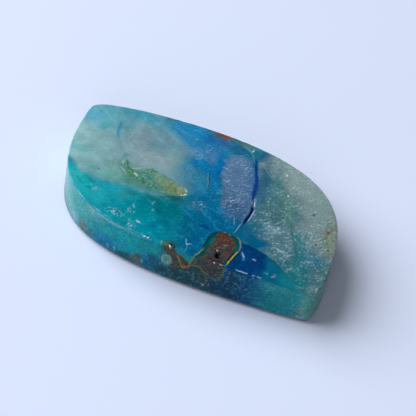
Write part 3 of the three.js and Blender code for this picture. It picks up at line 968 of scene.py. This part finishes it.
def paint_brown_on_the_wall(gem, wall):
    """The brown inclusion where it comes out on the wall, its golden vein and the banded eye beside it."""
    notch = [(-1.6, 6.6), (-0.6, 6.4), (-0.1, 5.7), (0.5, 5.05), (1, 4.9), (1.5, 4.5), (1.85, 4.4),
             (2.1, 5.1), (2.4, 5.9), (2.6, 6.6)]
    foot = [(-1.5, 5), (-0.9, 4.4), (-0.5, 3.2), (-0.2, 2.2), (0.4, 2.3), (0.9, 3), (1.3, 3),
            (2, 3.8), (2.8, 4.1), (3.6, 3.6), (4.3, 3.3), (5, 3.1), (5.5, 3.1), (5.9, 4)]
    across = gem.split(gem.wall_place)[0]
    gem.within(wall, gem.step(across, -1.55, -1.35), gem.step(across, 2.7, 2.4))
    gem.lay("087c80", gem.above(notch, 0.1, 0.3, gem.wall_place))
    inside = gem.product(gem.below(notch, 0.1, 0.3, gem.wall_place),
                         gem.above(foot, 0.15, 0.8, gem.wall_place), gem.step(across, -1.5, -1.3),
                         gem.step(across, 5.95, 5.8))
    gem.within(wall, inside)
    gem.patch("34362c", (2, 4), (WIDE, WIDE), 0, 0.5)
    gem.patch("3a3a3a", (0.1, 3), (0.6, 0.9), 0, 0.6)
    gem.patch("22423c", (2.6, 4.9), (0.6, 1.2), 0, 0.6)
    gem.patch("353338", (4, 4.9), (1.2, 1.3), 0, 0.6)
    gem.patch("233e38", (5.3, 4), (0.6, 0.9), 0, 0.6)
    gem.patch("4c3414", (-1.1, 5.6), (0.5, 0.25))
    gem.grit("6e6454", "121416", 0.45)
    gem.grains("4c4638", 0.5, 0.52, 0.66, 0.5)
    gem.within(wall)
    paint_golden_vein(gem)
    paint_eye(gem)


def paint_golden_vein(gem):
    """The vein that runs down the wall, forks, and goes on as a pale outline of the brown inclusion."""
    def strand(code, points, width, strength, upright=None):
        body = gem.line(points, width, 1, 0.15, gem.wall_place, upright)
        gem.lay(code, gem.product(body, gem.step(gem.noise(GRAIN), 0.3, 0.5, 0.5, 1)), strength)

    strand("5c4e2c", [(-1.1, 5.4), (-0.5, 5), (0.2, 4.8), (0.55, 4.5), (0.85, 4), (0.95, 3.5)], 0.6, 0.7)
    strand("94702c", [(0.3, 4.75), (0.55, 4.55), (0.72, 4.1), (0.82, 3.7), (0.98, 3.35), (1.25, 3.2)],
           0.38, 0.95, False)
    strand("8c6e34", [(1.2, 3.2), (1.5, 3.35), (1.75, 3.65), (1.95, 4)], 0.3, 0.95)
    strand("745c30", [(0.9, 4.3), (1.1, 3.9), (1.3, 3.6), (1.65, 3.5)], 0.2, 0.8)
    strand("4c5638", [(-0.2, 5.25), (0.4, 5), (1, 4.9), (1.5, 4.5), (1.85, 4.35)], 0.16, 0.8)
    strand("6c7054", [(2, 4.05), (2.4, 4.15), (2.8, 4.28), (3.3, 4), (3.8, 3.65), (4.3, 3.35)], 0.18, 0.9)
    strand("566058", [(4.7, 3.2), (5.1, 3.1), (5.5, 3.2)], 0.18, 0.9)
    strand("566058", [(5.5, 3.2), (5.7, 3.9), (5.8, 4.6), (5.85, 5.6)], 0.16, 0.9)
    strand("6a7428", [(1.92, 4.1), (1.98, 4.6), (2.15, 5.2), (2.42, 5.8), (2.7, 6.4)], 0.2, 0.95)


def paint_eye(gem):
    """The pale banded eye beside the golden vein."""
    bands = (1, "4c7a70"), (0.84, "6c988e"), (0.62, "386e64"), (0.46, "5c8a82"), (0.2, "3c7066")
    for radius, code in bands:
        gem.patch(code, (-0.8, 3.55), (0.66 * radius, 0.9 * radius), 0, 0.25, 0.9, 0.5)
    gem.patch("86aaa6", (-1.32, 3.5), (0.07, 0.5), 5, 0.6, 0.7)
    gem.patch("86aaa6", (-0.62, 3.3), (0.06, 0.4), -12, 0.6, 0.6)


def finish_stone(gem):
    """Fine mottling, the gloss and the surface."""
    strength = gem.step(gem.wall, 0, 1, 0.08, 0.2)
    mottling = gem.product(gem.step(gem.noise(0.22, 2), 0.3, 0.7, -1, 1), strength)
    shade = gem.math("ADD", mottling, gem.step(gem.noise(CLOUD, CLOUD_DETAIL), 0.3, 0.7, 0.9, 1.1))
    node = gem.node("VectorMath", gem.colour, operation="SCALE")
    gem.link(shade, node.inputs["Scale"])
    gem.link(node.outputs[0], gem.shader.inputs["Base Color"])
    gem.link(gem.step(gem.noise(0.5, 3), 0.3, 0.7, 0.14, 0.26), gem.shader.inputs["Roughness"])
    for name, value in (
            ("Specular IOR Level", 0.12),
            ("Specular Tint", (0.25, 0.8, 1, 1)),
            ("Subsurface Weight", 0.15),
            ("Subsurface Radius", (0.5, 0.9, 1)),
            ("Subsurface Scale", 0.7 * MM)):
        gem.shader.inputs[name].default_value = value
    bump = gem.node("Bump", 0.35, 0.03 * MM)
    gem.link(gem.noise(GRAIN), bump.inputs["Height"])
    gem.link(bump.outputs[0], gem.shader.inputs["Normal"])
    return gem.material


def paint_edge_highlights_and_chips(gem):
    """Painted highlights and a pale olive line along the rounded top edge, and on the chips pale broken
    stone with painted glints and painted shade in their corners.
    """
    rounded_edge = gem.node("Attribute", attribute_name="rounded_edge").outputs["Fac"]
    x, y, _ = gem.split(gem.place)
    left = gem.step(x, -4, -6)
    # Painted highlight along the rounded edge at the left, and a pale olive line along it at the back left.
    gem.lay("a8ccd2", gem.product(rounded_edge, left, gem.step(gem.clouds, -0.1, 0.15)), 0.35)
    gem.lay("8c8c74", gem.product(rounded_edge, left, gem.step(y, 6, 8.5)), 0.5)
    # Painted highlights in dashes along the rounded edge beside the wedge.
    beside_the_wedge = gem.product(gem.step(x, 4.2, 4.6), gem.step(x, 10.4, 9.6), gem.step(y, -4, -6))
    dashes = gem.step(gem.noise(0.5, 3), 0.49, 0.55)
    gem.lay("94bce0", gem.product(rounded_edge, beside_the_wedge, dashes), 0.7)
    # On the chips: pale broken stone, painted glints, and painted shade in their corners.
    gem.within(gem.node("Attribute", attribute_name="chipped_points").outputs["Fac"])
    gem.lay("9cc0d4", gem.step(gem.relief, -0.12, 0))
    gem.lay("dce8f0", gem.step(gem.relief, 0.02, 0.16))
    gem.lay("0a2030", gem.step(gem.relief, -0.04, -0.16), 0.8)
    gem.within()


def stone_material():
    gem = start_stone()
    for paint_zone in (
            paint_ground, paint_blue_heart, paint_turquoise_band, paint_left_veil, paint_chalcedony,
            paint_oval, paint_wedge, paint_veins, paint_green_inclusion, paint_front_wall,
            paint_brown_inclusion, paint_brown_patches, paint_edge_highlights_and_chips):
        paint_zone(gem)
    return finish_stone(gem)


# ---- The floor, the lights and the camera
def make_floor():
    half = 1.5
    mesh = bpy.data.meshes.new("floor")
    corners = [(-half, -half, 0), (half, -half, 0), (half, half, 0), (-half, half, 0)]
    mesh.from_pydata(corners, [], [(0, 1, 2, 3)])
    floor = bpy.data.objects.new("floor", mesh)
    bpy.context.scene.collection.objects.link(floor)
    paper = bpy.data.materials.new("pale_paper")
    paper.use_nodes = True
    shader = paper.node_tree.nodes["Principled BSDF"]
    shader.inputs["Base Color"].default_value = (0.66, 0.735, 0.94, 1)
    shader.inputs["Roughness"].default_value = 0.9
    mesh.materials.append(paper)


def make_area_light(name, place, size, power):
    data = bpy.data.lights.new(name, "AREA")
    data.shape = "DISK"
    data.size = size
    data.energy = power
    light = bpy.data.objects.new(name, data)
    bpy.context.scene.collection.objects.link(light)
    light.location = place
    light.rotation_euler = (-Vector(place)).to_track_quat("-Z", "Y").to_euler()


def make_lights():
    make_area_light("window", (-0.68, 0.043, 0.59), 0.98, 13.2)
    make_area_light("fill", (0.1, -0.62, 0.24), 0.5, 1.2)
    world = bpy.data.worlds.new("soft_room")
    bpy.context.scene.world = world
    world.use_nodes = True
    background = world.node_tree.nodes["Background"]
    background.inputs["Color"].default_value = (1.0, 1.0, 1.0, 1)
    background.inputs["Strength"].default_value = 0.13


def make_camera():
    """Looks down on the stone, turned a little to its right, with the frame tilted."""
    turn, slant, roll = (math.radians(v) for v in (9.5, 48, 11.57))
    view_angle = math.radians(18)
    distance = 158.09
    target = Vector((0.58, 2.75, 0))
    back = Vector((math.sin(turn) * math.cos(slant), -math.cos(turn) * math.cos(slant), math.sin(slant)))
    level = Vector((math.cos(turn), math.sin(turn), 0))
    upright = back.cross(level)
    right = math.cos(roll) * level + math.sin(roll) * upright
    up = -math.sin(roll) * level + math.cos(roll) * upright
    data = bpy.data.cameras.new("camera")
    data.angle = view_angle
    data.clip_start = 0.01
    camera = bpy.data.objects.new("camera", data)
    bpy.context.scene.collection.objects.link(camera)
    basis = Matrix((right, up, back)).transposed().to_4x4()
    camera.matrix_world = Matrix.Translation((target + back * distance) * MM) @ basis
    bpy.context.scene.camera = camera


make_camera()
make_floor()
make_lights()
stone = make_stone()
stone.data.materials.append(stone_material())
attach(stone, "root")
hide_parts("stone")

bpy.context.scene.view_settings.view_transform = "Standard"
